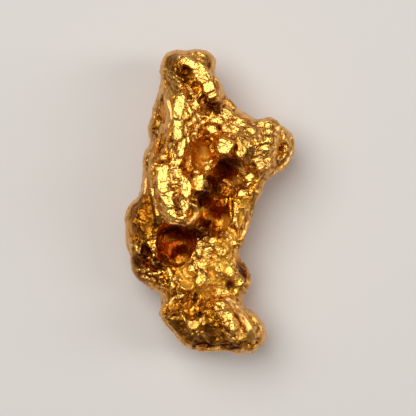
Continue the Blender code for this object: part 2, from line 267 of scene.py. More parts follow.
# Zones are ovals: centre, half sizes, turn. The skin of the bowls is smooth and glassy, as if it had run.
bowls = [
    ((-0.56, 3.52), (0.56, 0.96), 0),
    ((1.04, 2.40), (1.44, 1.04), 25),
    ((0.48, -1.12), (1.28, 1.04), 0),
    ((-2.64, -3.52), (1.68, 1.60), 0),
    ((-1.84, -6.08), (0.64, 0.88), 0),
    ((0.40, -5.76), (0.48, 0.96), 0),
    ((-1.12, -3.84), (0.40, 0.56), 0),
]
# Here small facets crowd together.
crinkled_zones = [
    ((-1.28, 6.88), (1.20, 2.08), 0),
    ((-2.72, 9.60), (1.20, 0.88), -30),
    ((2.08, 6.40), (1.92, 1.20), 20),
    ((3.52, 4.16), (0.64, 1.44), 0),
    ((4.32, 4.48), (0.72, 2.40), 0),
    ((-0.56, 1.52), (0.88, 1.20), 0),
    ((-3.52, 3.68), (1.12, 0.96), 0),
    ((2.56, -1.60), (1.04, 3.04), 10),
    ((0.16, -4.80), (2.24, 2.72), 0),
    ((-5.04, -5.12), (1.60, 2.16), 0),
    ((0.16, -7.92), (2.56, 0.96), 0),
    ((0.16, -10.08), (2.72, 1.28), 12),
    ((-1.84, 10.08), (0.80, 0.72), 20),
    ((-4.24, 6.40), (0.56, 1.44), 0),
    ((1.76, -6.40), (1.44, 1.44), 0),
]
# Here the skin is calm and painted a dull brown, which is painted shade on faces that the window would
# light.
dull_and_shaded_zones = [
    ((-2.80, 8.80), (0.64, 0.56), 0),
    ((-0.08, 11.12), (0.72, 0.72), 0),
    ((2.72, -10.56), (0.80, 0.72), 0),
    ((-0.40, -10.88), (1.44, 0.56), 0),
    ((2.56, 4.08), (0.48, 0.88), 0),
    ((-1.92, 9.92), (0.88, 0.88), 20),
    ((-3.04, 9.76), (0.88, 1.28), -20),
    ((-2.72, -9.28), (1.12, 1.60), -20),
    ((-5.12, -0.96), (1.52, 1.92), 0),
    ((-3.20, 11.36), (0.88, 0.88), 20),
    ((-0.96, -10.16), (1.76, 1.20), 15),
]
# Above these heights nothing is a bowl, so that the rims over a bowl keep their facets.
BOWL_TOP = (5.6, 6.6)


def in_zones(points, zones, low, high):
    """How far inside any of some zones each point (x, y) is, where low is 1 and high is 0."""
    inside = np.zeros(len(points))
    for centre, half_sizes, turn in zones:
        share = 1 - share_between(away_from_oval(points, centre, half_sizes, turn), low, high)
        inside = np.maximum(inside, share)
    return inside


bowl = in_zones(plan, bowls, low=0.75, high=1.2) * upward
bowl *= 1 - share_between(points[:, 2], *BOWL_TOP)
crinkle = in_zones(plan, crinkled_zones, low=0.7, high=1.3) * upward
crinkle = np.maximum(crinkle, (1 - upward) * share_between(-rubbed, -0.1, 0.3))
dull_and_shaded = in_zones(plan, dull_and_shaded_zones, low=0.6, high=1.2) * (1 - worn) * upward
# How lively the skin is: a quarter where it is worn, an eighth in a bowl, a third where it is dull.
lively = (1 - 0.75 * worn) * (1 - 0.88 * bowl) * (1 - 0.6 * smooth_back) * (1 - 0.7 * dull_and_shaded)

# Crystal faces that grew out of the skin, nearly square: centre, half sizes, turn, how far they stand out.
plates = [
    ((2.44, 4.08), (0.36, 0.81), -8, 0.03),
    ((1.16, 4.28), (0.63, 0.61), -18, 0.32),
    ((-3.62, 1.76), (0.47, 1.06), 4, 0.18),
    ((-3.16, 0.32), (0.53, 0.85), 27, 0.17),
    ((-2.64, -0.84), (0.81, 0.42), -22, 0.15),
    ((-1.84, 1.20), (0.37, 0.89), 0, 0.18),
    ((-1.96, -0.08), (0.34, 0.89), -12, 0.17),
    ((-2.52, 2.24), (0.42, 0.42), 0, 0.08),
    ((-2.34, 7.36), (0.36, 0.98), -12, 0.22),
    ((-2.46, 5.68), (0.34, 1.02), 0, 0.20),
    ((-2.24, 4.16), (0.27, 0.76), -12, 0.17),
    ((-2.48, 3.28), (0.31, 0.42), -20, 0.13),
    ((-1.60, 10.80), (0.76, 0.34), -26, 0.21),
    ((-0.64, 10.04), (0.53, 0.85), 36, 0.31),
    ((-0.14, 9.12), (0.44, 0.71), 22, 0.25),
    ((0.24, 8.12), (0.42, 0.56), 18, 0.32),
    ((-1.20, 7.48), (0.37, 0.36), 20, 0.14),
    ((1.32, 6.96), (0.42, 0.54), 8, 0.21),
    ((2.48, 6.20), (0.39, 0.37), -20, 0.15),
    ((0.22, 5.68), (0.36, 0.32), 20, 0.11),
    ((1.60, 5.72), (0.68, 0.34), -12, 0.10),
    ((0.72, 6.32), (0.42, 0.27), -20, 0.10),
    ((3.20, 5.68), (0.34, 0.27), -30, 0.10),
    ((1.64, -9.32), (0.42, 0.85), 30, 0.28),
    ((2.40, -10.32), (0.31, 0.51), 24, 0.10),
    ((4.28, 6.16), (0.53, 0.36), -18, 0.18),
    ((4.56, 5.52), (0.36, 0.25), 10, 0.14),
    ((4.44, 4.80), (0.58, 0.25), 8, 0.20),
    ((4.32, 4.12), (0.47, 0.22), -12, 0.17),
    ((3.88, 3.12), (0.36, 0.54), 18, 0.18),
    ((4.48, 2.96), (0.37, 0.47), 30, 0.17),
    ((3.08, 2.00), (0.32, 0.37), -30, 0.17),
    ((-0.84, -3.52), (0.24, 0.54), 0, 0.14),
    ((-1.36, -9.60), (0.47, 0.34), -15, 0.14),
    ((-0.76, 1.52), (0.34, 0.68), 0, 0.10),
    ((0.64, -5.12), (0.31, 0.37), 0, 0.11),
    ((-0.16, -3.84), (0.29, 0.39), 0, 0.11),
    ((0.88, -3.92), (0.39, 0.31), -20, 0.14),
    ((-0.56, -4.80), (0.42, 0.27), 10, 0.13),
    ((-0.80, -6.16), (0.27, 0.47), -15, 0.14),
    ((1.52, -5.44), (0.27, 0.46), 15, 0.14),
    ((2.40, -6.32), (0.31, 0.27), 30, 0.13),
    ((0.88, -7.12), (0.42, 0.27), 0, 0.15),
    ((0.24, -3.12), (0.25, 0.39), 0, 0.14),
    ((2.08, -4.72), (0.29, 0.29), 0, 0.13),
    ((-1.44, -5.28), (0.29, 0.27), 0, 0.11),
    ((2.64, -2.56), (0.31, 0.42), 0, 0.11),
]
# Small round swellings, given in the same way.
knuckles = [
    ((-1.52, 7.20), (0.40, 0.36), 0, 0.14),
    ((-1.84, 6.64), (0.24, 0.24), 0, 0.08),
    ((-1.12, 6.48), (0.24, 0.24), 0, 0.08),
    ((-1.52, 6.00), (0.28, 0.24), 0, 0.10),
    ((2.40, 6.16), (0.40, 0.32), 20, 0.13),
    ((1.92, 6.00), (0.28, 0.24), 0, 0.10),
    ((0.16, 5.76), (0.34, 0.26), 0, 0.14),
    ((4.40, 5.60), (0.40, 0.32), 0, 0.14),
    ((4.48, 4.00), (0.40, 0.26), 0, 0.13),
    ((5.92, 4.24), (0.21, 0.24), 0, 0.08),
    ((-0.80, 2.40), (0.32, 0.24), 0, 0.10),
    ((-0.16, 2.72), (0.24, 0.27), 0, 0.10),
    ((2.56, -2.32), (0.24, 0.32), 0, 0.13),
    ((1.84, -3.20), (0.29, 0.24), 0, 0.10),
    ((0.88, -3.84), (0.32, 0.24), 0, 0.10),
    ((2.88, 2.40), (0.24, 0.19), 0, 0.07),
    ((2.08, -7.12), (0.26, 0.24), 0, 0.14),
    ((0.88, -7.04), (0.40, 0.24), 0, 0.11),
    ((0.96, -8.00), (0.40, 0.27), 0, 0.11),
    ((-1.36, -9.76), (0.35, 0.32), 0, 0.11),
    ((-0.88, -9.28), (0.26, 0.24), 0, 0.08),
    ((-4.08, 6.32), (0.16, 0.16), 0, 0.07),
    ((-4.16, 5.52), (0.21, 0.16), 0, 0.07),
    ((2.48, 0.64), (0.32, 0.21), 0, 0.10),
    ((-2.72, 2.56), (0.32, 0.24), 0, 0.07),
    ((-0.56, -6.08), (0.32, 0.40), 0, 0.10),
    ((-0.80, -4.80), (0.32, 0.24), 0, 0.08),
    ((-0.16, -4.16), (0.32, 0.24), 0, 0.07),
    ((1.76, -4.96), (0.24, 0.24), 0, 0.08),
    ((3.12, -6.48), (0.16, 0.24), 0, 0.06),
]
# Narrow ridges: half width, how far they stand out, and their line.
crests = [
    # head
    (0.26, 0.21, [
        (-2.24, 11.20), (-1.60, 10.80), (-1.04, 10.48), (-0.72, 10.00), (-0.40, 9.44), (-0.16, 8.80),
    ]),
    (0.13, 0.10, [(-1.36, 11.68), (-0.88, 11.28), (-0.40, 10.88)]),
    (0.11, 0.08, [(-1.04, 11.84), (-0.48, 11.52), (-0.08, 11.12)]),
    (0.11, 0.08, [(-0.80, 11.20), (-0.40, 10.72), (-0.16, 10.32)]),
    (0.09, 0.13, [(-3.68, 10.56), (-3.28, 10.16), (-2.88, 9.76), (-2.32, 9.28)]),
    (0.09, 0.11, [(-3.52, 10.00), (-3.12, 9.60), (-2.64, 9.20), (-2.08, 8.88)]),
    (0.08, 0.10, [(-3.12, 10.24), (-2.64, 9.84), (-2.08, 9.52)]),
    (0.09, 0.08, [(-3.44, 9.12), (-3.12, 8.72), (-2.80, 8.24)]),
    (0.10, 0.10, [(-2.96, 9.20), (-2.72, 8.80), (-2.40, 8.40)]),
    (0.11, 0.11, [(-1.60, 8.88), (-1.36, 8.48), (-1.04, 8.08)]),
    (0.18, 0.14, [(0.56, 9.60), (0.88, 9.04), (0.88, 8.40), (0.64, 7.92)]),
    # column
    (0.22, 0.22, [
        (-2.16, 8.32), (-2.40, 7.84), (-2.48, 7.28), (-2.48, 6.72), (-2.40, 6.16), (-2.56, 5.60),
        (-2.64, 4.88),
    ]),
    (0.24, 0.15, [
        (-3.60, 9.28), (-3.52, 8.56), (-3.28, 7.84), (-3.20, 7.04), (-3.12, 6.48), (-3.36, 6.00),
    ]),
    (0.13, 0.11, [(-1.92, 8.08), (-1.76, 7.52), (-1.84, 6.96)]),
    (0.12, 0.11, [(-1.52, 7.84), (-1.12, 7.60), (-0.88, 7.12)]),
    (0.13, 0.11, [(-1.92, 6.40), (-1.76, 5.84), (-1.92, 5.36)]),
    (0.13, 0.11, [(-1.28, 6.88), (-1.20, 6.32), (-1.44, 5.76)]),
    (0.12, 0.11, [(-0.80, 6.80), (-0.88, 6.16), (-1.12, 5.52)]),
    (0.14, 0.13, [(-2.16, 4.64), (-2.32, 4.08), (-2.32, 3.44), (-2.48, 2.80)]),
    (0.11, 0.10, [(-3.04, 4.16), (-2.80, 3.60), (-2.96, 3.04)]),
    (0.11, 0.08, [(-3.76, 4.00), (-3.36, 4.32), (-2.88, 4.48)]),
    (0.13, 0.10, [(-1.92, 5.44), (-1.44, 5.68), (-0.88, 5.92), (-0.48, 6.24)]),
    (0.10, 0.14, [(-1.68, 5.28), (-1.60, 4.48), (-1.52, 3.68), (-1.60, 2.88)]),
    (0.10, 0.11, [(-1.20, 5.36), (-1.12, 4.72), (-1.12, 4.16)]),
    # tongue
    (0.27, 0.24, [
        (-3.76, 2.72), (-3.68, 2.08), (-3.60, 1.44), (-3.36, 0.80), (-2.96, 0.24), (-2.64, -0.32),
    ]),
    (0.19, 0.20, [
        (-1.84, 2.24), (-1.76, 1.60), (-1.76, 0.88), (-1.84, 0.16), (-2.00, -0.48), (-2.24, -0.96),
    ]),
    (0.14, 0.15, [(-3.68, -0.24), (-3.20, -0.72), (-2.64, -1.12), (-2.08, -0.96)]),
    (0.10, 0.10, [(-3.84, -0.72), (-3.28, -1.20), (-2.56, -1.52), (-1.84, -1.36)]),
    (0.10, 0.08, [(-3.68, -1.20), (-3.04, -1.60), (-2.24, -1.84)]),
    (0.13, 0.13, [(-2.72, 2.40), (-2.64, 1.76), (-2.56, 1.12), (-2.64, 0.48)]),
    (0.10, 0.10, [(-3.12, 2.56), (-3.04, 1.92), (-2.88, 1.28)]),
    (0.10, 0.10, [(-2.24, 2.40), (-2.16, 1.76), (-2.16, 1.12)]),
    (0.14, 0.15, [
        (-1.60, -0.08), (-1.12, -0.32), (-0.96, -0.80), (-1.20, -1.28), (-1.68, -1.68), (-2.24, -2.08),
    ]),
    (0.12, 0.11, [(-4.32, 0.24), (-4.24, -0.40), (-4.08, -1.04), (-4.00, -1.60)]),
    (0.11, 0.10, [(-4.48, 1.92), (-4.56, 1.20), (-4.48, 0.48)]),
    (0.11, 0.11, [(-4.16, 3.04), (-3.92, 3.44), (-3.44, 3.60)]),
    # small lobe beside the tongue
    (0.12, 0.13, [(-1.12, 2.40), (-1.20, 1.76), (-1.12, 1.04)]),
    (0.11, 0.13, [(-0.72, 2.48), (-0.80, 1.84), (-0.64, 1.20), (-0.40, 0.72)]),
    (0.11, 0.13, [(-0.32, 2.40), (-0.32, 1.76), (-0.16, 1.12)]),
    (0.13, 0.11, [(-0.48, 3.28), (-0.16, 3.04), (0.08, 3.28)]),
    # crown
    (0.14, 0.13, [(0.96, 8.24), (1.44, 7.92), (1.84, 7.44)]),
    (0.12, 0.11, [(1.20, 8.48), (1.68, 8.16), (2.00, 7.68)]),
    (0.19, 0.14, [(2.16, 7.12), (2.72, 6.80), (3.28, 6.40), (3.60, 5.84), (3.76, 5.20)]),
    (0.13, 0.11, [(1.92, 6.64), (2.40, 6.24), (2.88, 6.00)]),
    (0.13, 0.11, [(1.68, 6.24), (2.16, 5.84), (2.56, 5.60)]),
    (0.11, 0.10, [(0.32, 6.64), (0.80, 6.40), (1.28, 6.24)]),
    (0.11, 0.08, [(-0.48, 6.72), (0.00, 6.48), (0.48, 6.08)]),
    # knob
    (0.10, 0.10, [(1.44, 5.68), (2.08, 5.52), (2.72, 5.28), (3.20, 4.88)]),
    (0.10, 0.10, [(1.52, 5.44), (2.16, 5.20), (2.64, 4.80), (2.88, 4.24)]),
    (0.11, 0.14, [(1.60, 5.20), (2.16, 5.04), (2.56, 4.56), (2.64, 3.92), (2.40, 3.36), (1.84, 2.96)]),
    (0.12, 0.20, [(2.88, 4.96), (3.16, 4.32), (3.12, 3.68), (2.80, 3.04)]),
    (0.11, 0.14, [(3.44, 5.12), (3.68, 4.48), (3.60, 3.76), (3.20, 3.12), (2.64, 2.64)]),
    (0.12, 0.14, [(0.48, 3.76), (0.96, 3.36), (1.60, 2.96), (2.24, 2.72), (2.80, 2.64)]),
    (0.10, 0.10, [(0.48, 5.12), (0.96, 5.20), (1.60, 5.12)]),
    # side lobe
    (0.21, 0.17, [(5.04, 6.64), (5.28, 5.92), (5.20, 5.12), (5.04, 4.24), (5.04, 3.36), (4.72, 2.56)]),
    (0.13, 0.13, [(4.16, 6.56), (4.64, 6.32), (4.72, 5.76)]),
    (0.13, 0.13, [(3.92, 5.12), (4.40, 4.88), (4.80, 5.04)]),
    (0.12, 0.13, [(3.92, 4.24), (4.32, 4.40), (4.72, 4.24)]),
    (0.12, 0.13, [(3.76, 3.76), (4.24, 3.60), (4.72, 3.76)]),
    (0.10, 0.10, [(3.68, 3.12), (4.00, 2.64), (3.84, 2.16)]),
    (0.10, 0.10, [(4.08, 3.28), (4.40, 2.80), (4.32, 2.32)]),
    (0.10, 0.10, [(4.48, 3.36), (4.72, 2.96), (4.64, 2.48)]),
    (0.13, 0.11, [(5.68, 5.52), (5.92, 4.88), (6.24, 4.40)]),
    (0.13, 0.10, [(5.44, 3.36), (5.84, 3.60), (6.08, 4.08)]),
    (0.16, 0.11, [(6.56, 5.04), (6.72, 4.48), (6.56, 3.84), (6.16, 3.20), (5.60, 2.64), (4.96, 2.08)]),
    # pocket under the knob
    (0.11, 0.15, [(2.08, 1.20), (2.48, 1.44), (2.88, 1.28), (3.28, 1.52)]),
    (0.11, 0.13, [(2.80, 1.92), (3.04, 2.24), (3.36, 2.40)]),
    (0.10, 0.11, [(2.96, 1.44), (3.20, 1.92), (3.36, 2.40)]),
    (0.11, 0.10, [(1.12, 1.68), (1.68, 1.36), (2.24, 1.04)]),
    # right flank
    (0.19, 0.13, [(4.16, 1.52), (3.76, 0.80), (3.52, 0.00), (3.44, -0.80)]),
    (0.13, 0.11, [(2.08, 0.64), (2.56, 0.80), (3.12, 0.72)]),
    (0.14, 0.14, [(1.92, -0.08), (2.00, -0.72), (1.92, -1.44), (2.16, -2.00)]),
    (0.11, 0.11, [(2.56, -0.40), (2.72, -1.04), (2.64, -1.68)]),
    (0.11, 0.11, [(2.96, -0.80), (3.04, -1.44), (2.88, -2.08)]),
    (0.14, 0.15, [(2.40, -2.16), (2.64, -2.48), (2.48, -2.96)]),
    (0.11, 0.11, [(1.52, -2.72), (2.00, -3.04), (2.40, -3.60)]),
    (0.11, 0.11, [(1.68, -2.32), (2.16, -2.56), (2.64, -3.12)]),
    (0.11, 0.10, [(0.96, -2.40), (1.36, -2.88), (1.84, -3.36)]),
    # middle
    (0.14, 0.15, [(-0.96, -2.08), (-0.48, -2.32), (-0.08, -2.16), (0.08, -1.68)]),
    (0.13, 0.15, [(-0.08, -2.32), (0.08, -2.88), (0.16, -3.44)]),
    (0.14, 0.17, [(-0.88, -2.88), (-0.80, -3.52), (-0.88, -4.08)]),
    (0.11, 0.13, [(-0.40, -2.72), (-0.48, -3.36), (-0.32, -3.84)]),
    (0.12, 0.11, [(-1.36, -4.00), (-1.12, -4.56), (-0.64, -4.80), (-0.16, -4.64)]),
    (0.12, 0.11, [(-1.52, -5.44), (-1.20, -4.96), (-0.80, -5.20), (-0.32, -5.28)]),
    (0.11, 0.11, [(0.48, -3.60), (0.88, -4.00), (1.36, -3.84), (1.52, -3.36)]),
    (0.11, 0.11, [(0.24, -4.32), (0.72, -4.08), (1.28, -4.32), (1.76, -4.64)]),
    (0.12, 0.13, [(0.56, -4.80), (0.88, -5.20), (0.96, -5.76)]),
    (0.11, 0.11, [(0.24, -4.80), (0.48, -5.28), (0.56, -5.84)]),
    (0.11, 0.11, [(1.28, -4.80), (1.68, -5.28), (1.52, -5.84), (1.68, -6.40)]),
    (0.11, 0.11, [(1.76, -6.00), (2.24, -6.16), (2.64, -6.56)]),
    (0.11, 0.11, [(2.08, -5.60), (2.48, -5.92), (2.88, -6.32)]),
    (0.13, 0.13, [(-0.88, -5.68), (-0.56, -6.08), (-0.72, -6.64)]),
    (0.11, 0.11, [(-0.32, -5.44), (-0.08, -6.00), (-0.24, -6.56)]),
    (0.12, 0.13, [(0.48, -6.88), (0.88, -6.72), (1.36, -6.96), (1.52, -7.36)]),
    (0.12, 0.11, [(0.24, -6.56), (0.32, -7.12), (0.56, -7.60)]),
    (0.09, 0.14, [(-2.08, -5.44), (-1.92, -5.84), (-1.60, -6.08), (-1.28, -6.16)]),
    (0.09, 0.14, [(-2.56, -6.32), (-2.32, -6.64), (-1.92, -6.80)]),
    (0.11, 0.10, [(-3.20, -5.36), (-3.04, -6.00), (-2.96, -6.72)]),
    # lower left flank
    (0.10, 0.11, [(-4.24, -2.88), (-4.24, -3.52), (-4.08, -4.00)]),
    (0.11, 0.13, [(-6.16, -3.44), (-5.84, -3.76), (-5.52, -4.08)]),
    (0.10, 0.11, [(-4.80, -3.20), (-4.56, -3.76), (-4.40, -4.32)]),
    (0.11, 0.11, [(-4.88, -4.48), (-4.48, -4.80), (-4.08, -4.72)]),
    (0.10, 0.11, [(-5.76, -4.32), (-5.36, -4.64), (-5.44, -5.04)]),
    (0.11, 0.11, [(-5.84, -5.28), (-5.36, -5.44), (-4.88, -5.28)]),
    (0.10, 0.10, [(-4.72, -5.68), (-4.24, -5.76), (-3.76, -5.52)]),
    (0.10, 0.10, [(-4.96, -6.32), (-4.56, -6.56), (-4.80, -6.88)]),
    (0.10, 0.10, [(-4.00, -6.16), (-3.68, -6.56), (-3.76, -7.04)]),
    (0.10, 0.10, [(-2.80, -6.16), (-2.56, -5.92), (-2.24, -6.16)]),
    (0.11, 0.10, [(-5.36, -5.92), (-4.96, -6.08), (-4.40, -6.24)]),
    # foot
    (0.19, 0.17, [(0.96, -8.64), (1.36, -9.20), (1.76, -9.92), (2.00, -10.64)]),
    (0.27, 0.18, [(1.52, -7.68), (2.16, -8.32), (2.72, -9.12), (3.20, -10.00), (3.52, -10.88)]),
    (0.16, 0.18, [(-1.68, -9.52), (-1.28, -9.76), (-1.04, -10.16)]),
    (0.11, 0.14, [(-2.24, -8.56), (-2.08, -9.04), (-1.84, -9.52)]),
    (0.13, 0.11, [(-0.96, -9.20), (-0.64, -9.04), (-0.56, -9.52)]),
    (0.13, 0.11, [(0.24, -7.68), (0.72, -8.00), (1.28, -8.00)]),
    (0.11, 0.10, [(0.40, -8.16), (0.96, -8.40), (1.52, -8.32)]),
    (0.11, 0.11, [(3.20, -9.84), (3.44, -10.24), (3.68, -9.76)]),
    (0.13, 0.10, [(2.96, -8.64), (3.36, -8.96), (3.68, -9.44)]),
    (0.11, 0.08, [(-3.28, -8.00), (-2.88, -7.60), (-2.32, -7.52)]),
    (0.11, 0.10, [(-2.08, -7.52), (-1.84, -8.00), (-1.92, -8.48)]),
    (0.10, 0.10, [(1.04, -10.16), (1.44, -10.40), (1.76, -10.80)]),
    (0.10, 0.08, [(-1.92, -10.00), (-1.44, -10.32), (-0.88, -10.32)]),
    (0.10, 0.08, [(-0.56, -10.24), (-0.24, -10.72), (-0.08, -11.20)]),
    (0.19, 0.11, [(-3.84, -9.28), (-3.36, -10.00), (-2.80, -10.72), (-2.16, -11.36)]),
    (0.16, 0.10, [
        (-1.92, -11.68), (-1.12, -11.52), (-0.16, -11.52), (0.80, -11.52), (1.76, -11.44), (2.56, -11.60),
    ]),
]
# All of them slope by this much to the upper left, and less where they are worn.
LEFT_LEAN = (-0.17, 0.17)
# Where one lump hangs over another, they lie on the upper one: on what is within LAYER of its highest
# point, and never on skin that is further than OTHER_LUMP from them.
LAYER = 0.8
OTHER_LUMP = 1.2
lean = np.array(LEFT_LEAN) * (1 - 0.8 * worn)[:, None]
laid = np.zeros(len(points))
raised = np.zeros(len(points))
front = np.flatnonzero(normals[:, 2] > 0.2)
front_plan = plan[front]
front_height = points[front, 2]


def away_from_plate(points, centre, half_sizes, turn):
    """As away_from_oval, for a plate with nearly square corners."""
    across, along = on_oval(points, centre, half_sizes, turn)
    return (across ** 4 + along ** 4) ** 0.25


def height_at(place, reach):
    """The height of the skin's uppermost layer around a place (x, y)."""
    near = front_height[np.linalg.norm(front_plan - np.array(place), axis=1) < reach]
    return near[near > near.max() - LAYER].mean() if len(near) else 0.0


def leaning(middle, height):
    """The height at each point of a face that slopes to the upper left through a height at its middle."""
    return height - np.einsum("ij,ij->i", true_plan - middle, lean)


def lay(away, target, soft, reach):
    """Lays the skin at a target height out to where away is 1, and eases it back over the next bit."""
    share = share_between(-away, -1 - soft, -1)
    share[np.abs(target - points[:, 2]) > OTHER_LUMP] = 0
    target = points[:, 2] + np.clip(target - points[:, 2], -reach, reach)
    wins = share > laid
    raised[wins] = (target - points[:, 2])[wins]
    laid[wins] = share[wins]


for centre, half_sizes, turn, stand in plates:
    target = leaning(centre, height_at(centre, min(half_sizes)) + stand)
    lay(away_from_plate(plan, centre, half_sizes, turn), target, soft=0.25, reach=0.6)
for centre, half_sizes, turn, stand in knuckles:
    target = leaning(centre, height_at(centre, min(half_sizes)) + stand)
    lay(away_from_oval(plan, centre, half_sizes, turn), target, soft=0.4, reach=0.35)
for half_width, stand, line in crests:
    nearest = nearest_on_line(true_plan, line)[0]
    _, away, along = nearest_on_line(plan, line)
    heights = [height_at(place, 1.3 * half_width) for place in line]
    target = leaning(nearest, np.interp(along, np.arange(len(line)), heights) + stand)
    lay(away / half_width, target, soft=0.5, reach=0.3)
laid *= share_between(normals[:, 2], 0.0, 0.3)
raised *= laid

# Pits, most of them left by grains of rock: centre, half width, depth.
pits = [
    ((-0.56, 4.24), 0.21, 0.10),
    ((-0.84, 3.60), 0.16, 0.10),
    ((-0.36, 3.52), 0.18, 0.12),
    ((-0.48, 2.88), 0.13, 0.10),
    ((-1.92, 10.16), 0.32, 0.16),
    ((-2.32, 10.08), 0.24, 0.10),
    ((-1.04, 9.12), 0.24, 0.22),
    ((-3.12, 10.88), 0.16, 0.12),
    ((-4.40, 7.20), 0.14, 0.16),
    ((-4.16, 6.72), 0.16, 0.22),
    ((-3.92, 6.48), 0.12, 0.20),
    ((-4.40, 6.08), 0.13, 0.18),
    ((-4.16, 5.92), 0.13, 0.20),
    ((-4.32, 5.28), 0.18, 0.25),
    ((-5.04, 2.56), 0.10, 0.10),
    ((-5.36, 1.76), 0.10, 0.08),
    ((-2.56, -0.40), 0.18, 0.35),
    ((-2.40, -0.80), 0.14, 0.25),
    ((-0.80, 0.48), 0.24, 0.30),
    ((0.88, 6.96), 0.13, 0.12),
    ((0.72, 7.20), 0.16, 0.20),
    ((-0.48, 8.08), 0.18, 0.22),
    ((0.72, 8.80), 0.10, 0.10),
    ((5.60, 4.16), 0.18, 0.30),
    ((6.32, 3.68), 0.11, 0.16),
    ((5.28, 3.36), 0.16, 0.22),
    ((4.96, 2.72), 0.18, 0.26),
    ((6.00, 4.56), 0.10, 0.12),
    ((4.80, 3.12), 0.13, 0.16),
    ((3.36, -11.20), 0.13, 0.18),
    ((3.76, -10.88), 0.16, 0.24),
    ((3.52, -11.36), 0.12, 0.16),
    ((1.60, -6.64), 0.24, 0.28),
    ((1.28, -5.92), 0.19, 0.20),
    ((-0.88, -8.80), 0.21, 0.25),
    ((-0.80, -8.08), 0.13, 0.12),
    ((-1.68, -10.32), 0.12, 0.12),
    ((-2.64, -10.40), 0.10, 0.14),
    ((-3.20, -9.44), 0.11, 0.14),
    ((-3.68, -8.80), 0.13, 0.14),
    ((-3.52, -8.48), 0.10, 0.10),
    ((-1.12, -11.04), 0.19, 0.22),
    ((-0.32, -11.36), 0.21, 0.22),
    ((1.28, -11.20), 0.27, 0.28),
    ((2.08, -11.36), 0.19, 0.22),
    ((-0.56, -11.84), 0.21, 0.14),
    ((1.84, -11.84), 0.19, 0.12),
    ((-5.76, -3.52), 0.16, 0.18),
    ((-5.12, -3.84), 0.16, 0.18),
    ((-5.36, -4.40), 0.16, 0.20),
    ((-4.80, -4.80), 0.18, 0.22),
    ((-5.92, -4.80), 0.14, 0.15),
    ((-4.32, -5.12), 0.19, 0.22),
    ((-5.20, -5.44), 0.16, 0.18),
    ((-4.64, -6.08), 0.16, 0.18),
    ((-4.00, -6.56), 0.14, 0.16),
    ((-3.36, -6.32), 0.13, 0.14),
    ((2.40, -5.44), 0.13, 0.12),
    ((2.64, -6.08), 0.10, 0.08),
    ((0.16, -4.08), 0.16, 0.22),
    ((1.28, -3.44), 0.14, 0.20),
    ((-0.08, -5.28), 0.14, 0.20),
    ((1.12, -6.24), 0.16, 0.22),
    ((0.24, -6.56), 0.14, 0.18),
    ((-1.20, -4.32), 0.14, 0.18),
    ((1.92, -4.08), 0.13, 0.16),
    ((-0.32, -2.88), 0.13, 0.18),
    ((1.84, -7.20), 0.14, 0.20),
    ((2.64, -4.80), 0.13, 0.16),
    ((-1.12, -6.88), 0.16, 0.20),
    ((0.32, -9.84), 0.13, 0.12),
    ((2.64, -9.28), 0.12, 0.12),
    ((-0.24, -1.84), 0.14, 0.14),
    ((-1.92, -2.88), 0.11, 0.10),
]
# Grooves: half width, depth, and their line.
grooves = [
    (0.21, 0.30, [(2.32, -4.56), (2.68, -5.28), (2.96, -6.08), (3.04, -6.80)]),
    (0.12, 0.28, [(-0.56, 8.32), (-0.24, 7.68), (0.32, 7.28), (0.88, 7.28)]),
    (0.08, 0.10, [(2.40, 4.96), (2.84, 4.40), (2.88, 3.76), (2.56, 3.12)]),
    (0.07, 0.10, [(5.60, 5.60), (6.00, 4.96), (6.32, 4.32), (6.08, 3.60)]),
    (0.07, 0.14, [(4.96, 6.40), (4.80, 5.44), (4.80, 4.48), (4.72, 3.52)]),
    (0.13, 0.44, [(-2.64, 0.56), (-2.52, 0.00), (-2.40, -0.56), (-2.32, -0.96)]),
    (0.08, 0.16, [(-3.12, 2.40), (-3.04, 1.60), (-2.88, 0.96)]),
    (0.10, 0.26, [(1.20, 8.72), (1.28, 8.24), (1.28, 7.84), (0.96, 7.36), (0.40, 7.04)]),
    (0.08, 0.14, [(4.16, 6.32), (4.08, 5.60), (4.00, 4.88), (3.92, 4.16)]),
    (0.08, 0.12, [(-3.04, -11.04), (-2.40, -11.60), (-1.60, -11.92)]),
    (0.08, 0.12, [(1.76, 3.04), (2.40, 2.88), (2.88, 2.40)]),
]
# Here many small pits stand close together.
pitted_zones = [
    ((-5.04, -4.80), (1.60, 2.16), 0),
    ((-4.24, 6.32), (0.48, 1.28), 0),
    ((-3.44, -9.28), (0.64, 1.28), -25),
    ((2.08, -6.56), (0.64, 0.64), 0),
    ((3.60, -11.12), (0.56, 0.56), 0),
    ((-4.00, -2.88), (0.96, 0.48), 0),
]
# A shallow groove runs along the inner side of the rim: its distance from the edge, half width and depth.
RIM_GROOVE = (0.46, 0.10, 0.10)
# How deep the pits of those zones are, and the dents that stones beat into the back and the flanks.
SMALL_PIT = 0.12
BROAD_DENT = 0.16
SMALL_DENT = 0.08


def dents(points, spacing, share, seed):
    """Round dents scattered over the skin in a share of the cells of a spacing: 1 at a dent's middle."""
    depth = np.zeros(len(points))
    shift = Vector((seed, seed * 1.9, seed * 0.7))
    for index, point in enumerate(points):
        away, centres = noise.voronoi(Vector(point) / spacing + shift)
        if noise.cell(centres[0] * 7.1) < share:
            depth[index] = max(0.0, 1 - (away[0] / 0.42) ** 2)
    return depth


